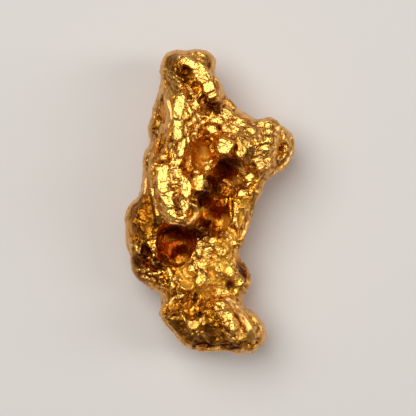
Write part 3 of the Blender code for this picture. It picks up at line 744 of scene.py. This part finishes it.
sink = np.zeros(len(points))
for centre, half_width, depth in pits:
    away = away_from_oval(plan, centre, (half_width, half_width), 0)
    sink = np.maximum(sink, depth * np.exp(-(away ** 2)))
rim_groove_at, half_width, depth = RIM_GROOVE
sink = np.maximum(sink, depth * np.exp(-((from_edge - rim_groove_at) / half_width) ** 2)) * facing
for half_width, depth, line in grooves:
    away = away_from_line(plan, line) / half_width
    sink = np.maximum(sink, depth * np.exp(-(away ** 2)) * upward)
pitted = in_zones(plan, pitted_zones, low=0.7, high=1.2) * upward
sink += SMALL_PIT * pitted * dents(points, spacing=0.42, share=0.6, seed=3)
broad_dents = BROAD_DENT * dents(points, spacing=1.3, share=0.5, seed=7) * (1 - facing)
small_dents = SMALL_DENT * dents(points, spacing=0.6, share=0.35, seed=11) * (1 - facing)
sink += broad_dents + small_dents

# Between all these the skin is broken into flat facets 0.78 wide, and into finer ones on top of them. Each
# lies on a plane of its own, which leans a little. They are drawn out along the nugget, as it grew.
FACET = 0.78
SMALL_FACET = 0.38
DRAWN_OUT = 1.9


def facets(points, size, seed):
    """Which facet each point is in. The two sides of a thin wall are kept apart."""
    shift = np.array((seed, seed * 2.3, seed * 1.7))
    places = (points + 0.5 * size * broad_normals) / (size, DRAWN_OUT * size, size) + shift
    centres = [noise.voronoi(Vector(place))[1][0] for place in places]
    return np.unique(np.round(centres, 4), axis=0, return_inverse=True)[1].ravel()


def flattened(points, facet, lean, reach, seed):
    """How far each point rises along its normal to lie on its facet's own leaning plane."""
    count = np.bincount(facet)
    centre = np.stack([np.bincount(facet, points[:, axis]) / count for axis in range(3)], axis=1)
    plane = np.stack([np.bincount(facet, normals[:, axis]) / count for axis in range(3)], axis=1)
    plane += lean * np.random.default_rng(seed).normal(size=plane.shape)
    plane /= np.linalg.norm(plane, axis=1)[:, None]
    away = np.einsum("ij,ij->i", centre[facet] - points, plane[facet])
    steepness = np.maximum(np.einsum("ij,ij->i", normals, plane[facet]), 0.4)
    return np.clip(away / steepness, -reach, reach)


facet = facets(points, FACET, seed=0)
rise = flattened(points, facet, lean=0.14, reach=0.25, seed=1) * lively * (1 - 0.9 * laid)
facet = facets(points, SMALL_FACET, seed=5)
small_rise = flattened(points + normals * rise[:, None], facet, lean=0.18, reach=0.12, seed=2)
rise += 0.8 * small_rise * (lively * (0.3 + 0.7 * crinkle) * (1 - 0.85 * laid))

# The whole skin is drawn in a little, because what stands out of it would make the nugget larger.
DRAWN_IN = 0.02
moved = points + normals * (rise - sink - DRAWN_IN)[:, None]
moved[:, 2] += raised
moved[:, 2] = np.maximum(moved[:, 2], 0)
nugget.data.vertices.foreach_set("co", moved.ravel())
nugget.data.update()
smooth_skin(nugget, times=1)

# Colour and gloss follow the finished skin. A place is sunk where it lies under the skin around it, which
# is measured over a few tenths of a millimetre and over about a millimetre. Sunk places are painted darker
# as painted shade, and raised ones lighter as painted highlights.
finished = vectors(nugget.data.vertices, "co")
finished_normals = vectors(nugget.data.vertex_normals, "vector")
sunk = np.einsum("ij,ij->i", evened(nugget, times=16)[0] - finished, finished_normals)
even_points, even_normals = evened(nugget, times=156)
sunk_broadly = np.einsum("ij,ij->i", even_points - finished, even_normals)

# Bowls and folds where gold is mirrored in gold glow like amber: this reflection is painted into their
# colour.
amber_reflection_zones = [
    ((-0.64, 3.52), (0.60, 1.20), 0),
    ((0.48, -5.84), (0.64, 1.44), 0),
    ((1.76, -6.72), (0.96, 0.96), 0),
    ((-1.92, -5.60), (0.72, 0.80), 0),
    ((1.44, -3.04), (0.64, 0.96), 0),
    ((-0.88, -0.80), (0.40, 0.40), 0),
    ((0.96, -4.80), (0.80, 1.60), 0),
    ((-0.32, -6.72), (0.96, 0.88), 0),
    ((-2.08, -4.80), (0.48, 0.40), 0),
    ((1.84, 1.68), (0.72, 0.40), 10),
    ((1.20, -1.60), (0.48, 0.72), 0),
    ((-1.12, 1.44), (0.32, 0.64), 0),
    ((2.64, -0.72), (0.48, 1.20), -8),
    ((2.40, -4.80), (0.56, 0.88), 0),
    ((-0.32, -4.80), (0.48, 0.64), 0),
    ((-1.76, -6.48), (0.64, 0.48), 0),
]
# These places are coloured a dark red-brown.
red_brown_zones = [
    ((1.28, 1.76), (0.72, 0.56), 15),
    ((0.72, -0.64), (0.80, 0.88), 0),
    ((-3.04, -3.76), (1.20, 0.88), 0),
    ((-0.32, 0.16), (0.64, 0.80), 0),
    ((-4.96, -5.04), (1.28, 1.68), 0),
    ((2.72, -5.52), (0.43, 1.12), 18),
]
# Here the skin is dark brown: painted shade under overhangs and in the deepest hollows, and iron stain in a
# few places.
stain_and_shade_zones = [
    ((-2.48, -0.16), (0.18, 0.72), -8),
    ((2.72, -5.60), (0.26, 0.88), 18),
    ((-1.12, -7.60), (0.29, 0.35), 0),
    ((1.28, 2.80), (1.28, 0.72), 20),
    ((0.32, 1.28), (0.80, 0.96), 0),
    ((-0.72, 0.32), (0.64, 0.48), 0),
    ((-1.92, -2.40), (2.40, 0.64), 0),
    ((-0.40, -1.68), (0.72, 0.48), 0),
    ((0.16, 7.52), (0.80, 0.40), 20),
    ((0.56, 6.96), (0.40, 0.24), 0),
    ((-0.32, -11.36), (1.12, 0.32), 0),
    ((1.60, -11.36), (1.12, 0.40), 0),
    ((1.60, -6.56), (0.40, 0.48), 0),
    ((-0.96, -8.80), (0.32, 0.24), 0),
    ((-4.00, -5.12), (0.64, 0.40), 0),
    ((-5.04, -3.92), (0.48, 0.32), 0),
    ((-5.60, -4.64), (0.64, 0.64), 0),
    ((-2.24, -2.56), (1.60, 0.64), 0),
    ((0.56, 7.44), (0.40, 0.24), 20),
]
glassy = bowl * (1 - laid)
cracked = (0.32 + 0.15 * crinkle) * (1 - 0.2 * laid) * (1 - 0.6 * worn) * (0.35 + 0.65 * upward) * (
    1 - 0.3 * glassy)
sparkled = (0.62 + 0.3 * crinkle) * (1 - 0.72 * laid) * (1 - 0.6 * worn) * (0.3 + 0.7 * upward) * (
    1 - 0.7 * glassy) * (1 - 0.6 * dull_and_shaded)
# The material reads each of these shares of the skin by its name.
looks = {
    "worn": worn,
    "dull_and_shaded": dull_and_shaded,
    "amber_reflection": in_zones(plan, amber_reflection_zones, low=0.6, high=1.2) * (1 - 0.55 * laid) * upward,
    "red_brown": in_zones(plan, red_brown_zones, low=0.6, high=1.2) * (1 - laid) * upward,
    "stain_and_shade": in_zones(plan, stain_and_shade_zones, low=0.5, high=1.3) * upward,
    "crevice_shade": share_between(sunk, -0.01, 0.055),
    "crest_highlight": share_between(-sunk, 0.0, 0.08),
    "valley_shade": share_between(sunk_broadly, 0.05, 0.45),
    "face_highlight": laid * (1 - 0.8 * worn) * (1 - 0.6 * dull_and_shaded),
    "pitted": np.maximum(pitted, 0.6 * rim) * upward,
    "lined": np.maximum(0.5 * laid, cracked) * (1 - 0.7 * worn) * upward * (1 - 0.8 * glassy),
    "cracked": cracked,
    "sparkled": sparkled,
}
for name, values in looks.items():
    layer = nugget.data.attributes.new(name, "FLOAT", "POINT")
    layer.data.foreach_set("value", values)
nugget.data.transform(Matrix.Scale(MM, 4))
nugget.data.shade_smooth()


def linear(hex_colour):
    """An sRGB colour such as "c89040" as the linear one that a shader takes."""
    channels = [int(hex_colour[i:i + 2], 16) / 255 for i in (0, 2, 4)]
    return tuple(c / 12.92 if c <= 0.04045 else ((c + 0.055) / 1.055) ** 2.4 for c in channels) + (1.0,)


def add_node(tree, kind, settings=(), links=()):
    """Adds a node, sets its properties and inputs by name, and links its inputs to other nodes' outputs."""
    node = tree.nodes.new(kind)
    for name, value in dict(settings).items():
        if isinstance(name, int) or name in node.inputs:
            node.inputs[name].default_value = value
        else:
            setattr(node, name, value)
    for name, output in dict(links).items():
        tree.links.new(output, node.inputs[name])
    return node


# Native gold, worn by water: a warm yellow metal with a satin skin, matt and pale where stones rubbed it,
# with a painted rim light along its edge, painted highlights on its crystal faces and crests, and painted
# shade in its sunk places. Where it folds in on itself, it mirrors its own colour and goes orange, and that
# reflection is painted into its colour too.
gold = bpy.data.materials.new("water-worn native gold")
gold.use_nodes = True
tree = gold.node_tree
shader = tree.nodes["Principled BSDF"]
in_metres = add_node(tree, "ShaderNodeTexCoord").outputs["Object"]
in_mm = add_node(
    tree, "ShaderNodeVectorMath", {"operation": "SCALE", "Scale": 1 / MM}, {0: in_metres},
).outputs[0]
shares = {
    name: add_node(tree, "ShaderNodeAttribute", {"attribute_name": name}).outputs["Fac"] for name in looks
}

# The skin's colour. Each place's colour is laid over those before it; some of these colours are painted
# shade, highlights and reflection.
CLEAN_GOLD = "faa42c"
# The dull brown is painted shade where the window would light these faces.
SHADED_DULL_GOLD = "965812"
skin = add_node(
    tree, "ShaderNodeMix", {"data_type": "RGBA", 6: linear(CLEAN_GOLD), 7: linear(SHADED_DULL_GOLD)},
    {0: shares["dull_and_shaded"]},
).outputs[2]
for name, colour in (
    # pale tan where stones rubbed the skin, and along the rim partly painted rim light
    ("worn", "f2bc74"),
    # painted shade in small sunk places
    ("crevice_shade", "945614"),
    # painted highlight on raised places
    ("crest_highlight", "fcc04c"),
    # painted highlight on the faces laid towards the window
    ("face_highlight", "fbc262"),
    # painted shade in broad hollows
    ("valley_shade", "8a4a12"),
    # painted reflection of gold in gold, in bowls and folds
    ("amber_reflection", "f4b034"),
    ("red_brown", "983f0c"),
    # dark brown: painted shade under overhangs and in deep hollows, and iron stain in a few places
    ("stain_and_shade", "6a3410"),
):
    skin = add_node(
        tree, "ShaderNodeMix", {"data_type": "RGBA", 7: linear(colour)}, {0: shares[name], 6: skin},
    ).outputs[2]

# Polished gold is about 0.2 rough, and rubbed gold about twice that. Each other place adds its own.
POLISHED = 0.22
RUBBED = 0.40
roughness = add_node(
    tree, "ShaderNodeMapRange", {"To Min": POLISHED, "To Max": RUBBED}, {"Value": shares["worn"]},
).outputs["Result"]
for name, rougher in (("dull_and_shaded", 0.05), ("crevice_shade", 0.15), ("crest_highlight", -0.06), ("amber_reflection", 0.06)):
    roughness = add_node(
        tree, "ShaderNodeMath", {"operation": "MULTIPLY_ADD", 1: rougher}, {0: shares[name], 2: roughness},
    ).outputs[0]
tree.links.new(roughness, shader.inputs["Roughness"])

# The thin iron film on the amber places hides part of the metal, which also lets their painted amber
# reflection show from every side.
FILMED = 0.6
metal = add_node(tree, "ShaderNodeMapRange", {"To Min": 1.0, "To Max": FILMED}, {"Value": shares["amber_reflection"]})
tree.links.new(metal.outputs["Result"], shader.inputs["Metallic"])

# The patterns below are twice as long up the nugget as across it, as its crystals grew. They bend in
# sweeps of about 3 mm, which shift them by up to 6 mm, and in swirls of about half a millimetre.
SWEEPS_PER_MM = 0.3
SWEEP = (6.0, 6.0, 6.0)
DRAWN_LONG = (1.1, 0.5, 1.1)
SWIRLS_PER_MM = 2.2
SWIRL = (0.5, 0.5, 0.5)
sweep = add_node(tree, "ShaderNodeTexNoise", {"Scale": SWEEPS_PER_MM, "Detail": 1.0}, {"Vector": in_mm})
swept = add_node(
    tree, "ShaderNodeVectorMath", {"operation": "MULTIPLY_ADD", 1: SWEEP},
    {0: sweep.outputs["Color"], 2: in_mm},
)
drawn_long = add_node(
    tree, "ShaderNodeVectorMath", {"operation": "MULTIPLY", 1: DRAWN_LONG}, {0: swept.outputs[0]},
)
swirl = add_node(tree, "ShaderNodeTexNoise", {"Scale": SWIRLS_PER_MM, "Detail": 3.0}, {"Vector": in_mm})
swirled = add_node(
    tree, "ShaderNodeVectorMath", {"operation": "MULTIPLY_ADD", 1: SWIRL},
    {0: swirl.outputs["Color"], 2: drawn_long.outputs[0]},
).outputs[0]

# Fine cracks between crystals are about 0.01 wide, too fine to show, so they are drawn about 0.05 wide and
# half a millimetre apart. They come and go, and dirt in them is dark.
CRACK_SPACING = 0.5
BREAKS_PER_MM = 1.6
CRACK_DIRT = "6e4010"
cracks = add_node(
    tree, "ShaderNodeTexVoronoi", {"feature": "DISTANCE_TO_EDGE", "Scale": 1 / CRACK_SPACING},
    {"Vector": swirled},
)
crack = add_node(
    tree, "ShaderNodeMapRange", {"From Min": 0.01, "From Max": 0.10, "To Min": 1.0, "To Max": 0.0},
    {"Value": cracks.outputs["Distance"]},
)
breaks = add_node(tree, "ShaderNodeTexNoise", {"Scale": BREAKS_PER_MM}, {"Vector": in_mm})
broken = add_node(
    tree, "ShaderNodeMapRange", {"From Min": 0.40, "From Max": 0.56}, {"Value": breaks.outputs["Fac"]},
)
open_crack = add_node(
    tree, "ShaderNodeMath", {"operation": "MULTIPLY"}, {0: crack.outputs[0], 1: broken.outputs[0]},
)
crack_shown = add_node(
    tree, "ShaderNodeMath", {"operation": "MULTIPLY"}, {0: open_crack.outputs[0], 1: shares["lined"]},
).outputs[0]
skin = add_node(
    tree, "ShaderNodeMix", {"data_type": "RGBA", 7: linear(CRACK_DIRT)}, {0: crack_shown, 6: skin},
).outputs[2]

# Pinholes in the pitted places and the rim, about a third of a millimetre apart, with dirt in them.
HOLE_SPACING = 0.34
HOLE_DIRT = "4a2208"
holes = add_node(tree, "ShaderNodeTexVoronoi", {"Scale": 1 / HOLE_SPACING}, {"Vector": swirled})
hole = add_node(
    tree, "ShaderNodeMapRange", {"From Min": 0.12, "From Max": 0.36, "To Min": 1.0, "To Max": 0.0},
    {"Value": holes.outputs["Distance"]},
)
hole_shown = add_node(
    tree, "ShaderNodeMath", {"operation": "MULTIPLY"}, {0: hole.outputs[0], 1: shares["pitted"]},
).outputs[0]
skin = add_node(
    tree, "ShaderNodeMix", {"data_type": "RGBA", 7: linear(HOLE_DIRT)}, {0: hole_shown, 6: skin},
).outputs[2]
tree.links.new(skin, shader.inputs["Base Color"])

# The skin is crumpled like foil. Each crumple is a small flat face that leans its own way. The real ones
# are 0.02 to 0.1 wide, too fine to show, so they are drawn as broad ones and as sparkles, this wide.
BROAD_CRUMPLE = 0.5
SPARKLE = 0.24
foil_rise = {}
for name, width in (("cracked", BROAD_CRUMPLE), ("sparkled", SPARKLE)):
    foil = add_node(tree, "ShaderNodeTexVoronoi", {"Scale": 1 / width}, {"Vector": swirled})
    from_middle = add_node(
        tree, "ShaderNodeVectorMath", {"operation": "SUBTRACT"}, {0: swirled, 1: foil.outputs["Position"]},
    )
    foil_lean = add_node(
        tree, "ShaderNodeVectorMath", {"operation": "SUBTRACT", 1: (0.5, 0.5, 0.5)},
        {0: foil.outputs["Color"]},
    )
    foil_rise[name] = add_node(
        tree, "ShaderNodeVectorMath", {"operation": "DOT_PRODUCT"},
        {0: from_middle.outputs[0], 1: foil_lean.outputs[0]},
    ).outputs["Value"]
broad_foil = add_node(
    tree, "ShaderNodeMath", {"operation": "MULTIPLY"}, {0: foil_rise["cracked"], 1: shares["cracked"]},
).outputs[0]
height = add_node(
    tree, "ShaderNodeMath", {"operation": "MULTIPLY_ADD"},
    {0: foil_rise["sparkled"], 1: shares["sparkled"], 2: broad_foil},
).outputs[0]

# A fine grain goes over all of it, and the cracks and holes are sunk in: how far each stands out.
GRAIN = 0.2
grain = add_node(tree, "ShaderNodeTexNoise", {"Scale": 1 / GRAIN, "Detail": 4.0}, {"Vector": in_mm})
for stand, pattern in ((0.05, grain.outputs["Fac"]), (-0.04, crack_shown), (-0.05, hole_shown)):
    height = add_node(
        tree, "ShaderNodeMath", {"operation": "MULTIPLY_ADD", 1: stand}, {0: pattern, 2: height},
    ).outputs[0]
RELIEF = 0.9 * MM
bump = add_node(tree, "ShaderNodeBump", {"Distance": RELIEF}, {"Height": height})
tree.links.new(bump.outputs["Normal"], shader.inputs["Normal"])
nugget.data.materials.append(gold)
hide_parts("nugget")
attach(nugget, "root")

# ---- Floor, light and camera ---------------------------------------------------------------------------
# Matt pale paper on a table, in a studio with warm dark walls. A window at the upper left gives the bright
# facets, and a strip at the right and a pale ceiling give the softer ones. Sizes are in metres and the
# lamps' powers in watts.
bpy.ops.mesh.primitive_plane_add(size=1.2, location=(0, 0, 0))
floor = bpy.context.object
floor.name = "floor"
paper = bpy.data.materials.new("matt pale paper")
paper.use_nodes = True
paper_shader = paper.node_tree.nodes["Principled BSDF"]
paper_shader.inputs["Base Color"].default_value = linear("e4e2de")
paper_shader.inputs["Roughness"].default_value = 0.9
floor.data.materials.append(paper)


def soft_light(name, place, size, power):
    """A rectangular lamp that looks at the nugget from a place."""
    light = bpy.data.lights.new(name, "AREA")
    light.shape = "RECTANGLE"
    light.size, light.size_y = size
    light.energy = power
    lamp = bpy.data.objects.new(name, light)
    bpy.context.scene.collection.objects.link(lamp)
    lamp.location = place
    lamp.rotation_euler = (-Vector(place)).to_track_quat("-Z", "Y").to_euler()


soft_light("key window", place=(-0.13, 0.13, 0.36), size=(0.33, 0.33), power=1.20)
soft_light("right strip", place=(0.28, 0.02, 0.22), size=(0.10, 0.24), power=0.35)
soft_light("ceiling", place=(0, 0, 0.50), size=(0.66, 0.66), power=0.42)
world = bpy.data.worlds.new("studio")
world.use_nodes = True
walls = world.node_tree.nodes["Background"]
walls.inputs["Color"].default_value = linear("6a5848")
walls.inputs["Strength"].default_value = 0.6
bpy.context.scene.world = world
bpy.context.scene.view_settings.view_transform = "Standard"

# The camera looks straight down from far off. The picture is 416 pixels wide, and a pixel shows 0.08 mm at
# the height of the nugget's middle.
PICTURE_WIDTH = 416 * 0.08 * MM
MIDDLE = Vector((-0.14, -0.48, 3.5)) * MM
lens = bpy.data.cameras.new("camera")
lens.lens = 135
lens.sensor_width = 36
lens.clip_start = 0.01
camera = bpy.data.objects.new("camera", lens)
bpy.context.scene.collection.objects.link(camera)
camera.location = MIDDLE + Vector((0, 0, PICTURE_WIDTH * lens.lens / lens.sensor_width))
bpy.context.scene.camera = camera
